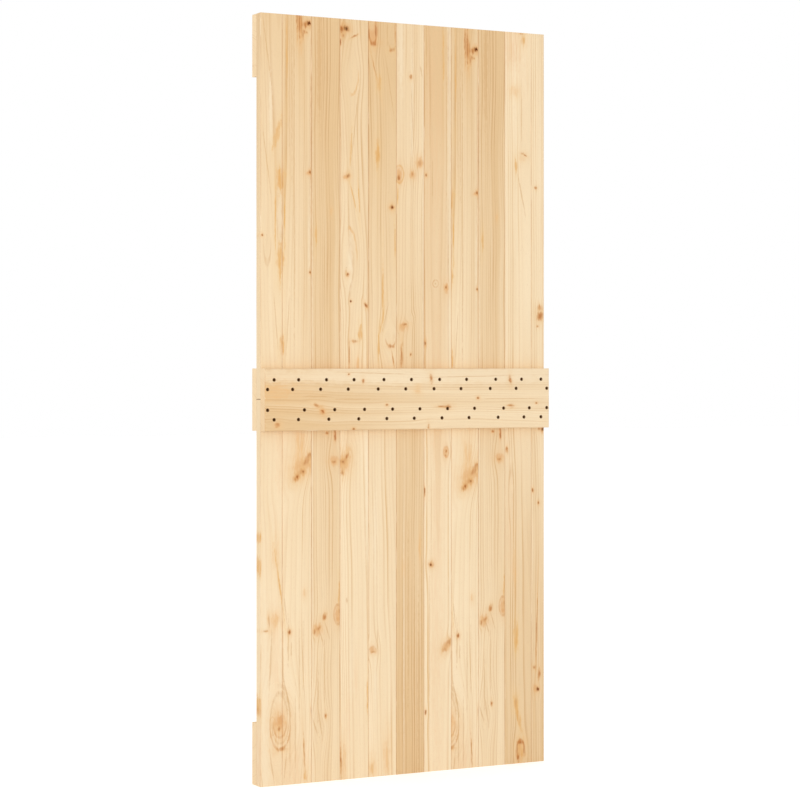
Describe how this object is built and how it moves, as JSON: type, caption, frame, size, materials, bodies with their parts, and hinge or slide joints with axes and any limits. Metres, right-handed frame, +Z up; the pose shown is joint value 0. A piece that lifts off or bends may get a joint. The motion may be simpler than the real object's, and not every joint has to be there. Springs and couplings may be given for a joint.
{
  "type": "ledged board door leaf",
  "caption": "Pine door leaf of upright tongued-and-grooved boards screwed to full-width ledges on both faces, to hang from a sliding track.",
  "frame": {"origin": "middle of the leaf's top edge, on the plane where the boards meet the back ledges", "axes": "+Z up along the boards, -Y out of the front, +X to the right seen from the front"},
  "size_m": [0.9, 0.084, 2.1],
  "materials": {
    "board_pine": "bare planed pine",
    "ledge_pine": "bare planed pine",
    "screw_steel": "dark burnished screw heads"
  },
  "bodies": {
    "root": {"left_edge_board": "board_pine", "board_01": "board_pine", "board_02": "board_pine", "board_03": "board_pine", "board_04": "board_pine", "board_05": "board_pine", "board_06": "board_pine", "board_07": "board_pine", "board_08": "board_pine", "board_09": "board_pine", "right_edge_board": "board_pine", "front_mid_ledge": "ledge_pine", "back_top_ledge": "ledge_pine", "back_mid_ledge": "ledge_pine", "back_bottom_ledge": "ledge_pine"}
  },
  "joints": []
}
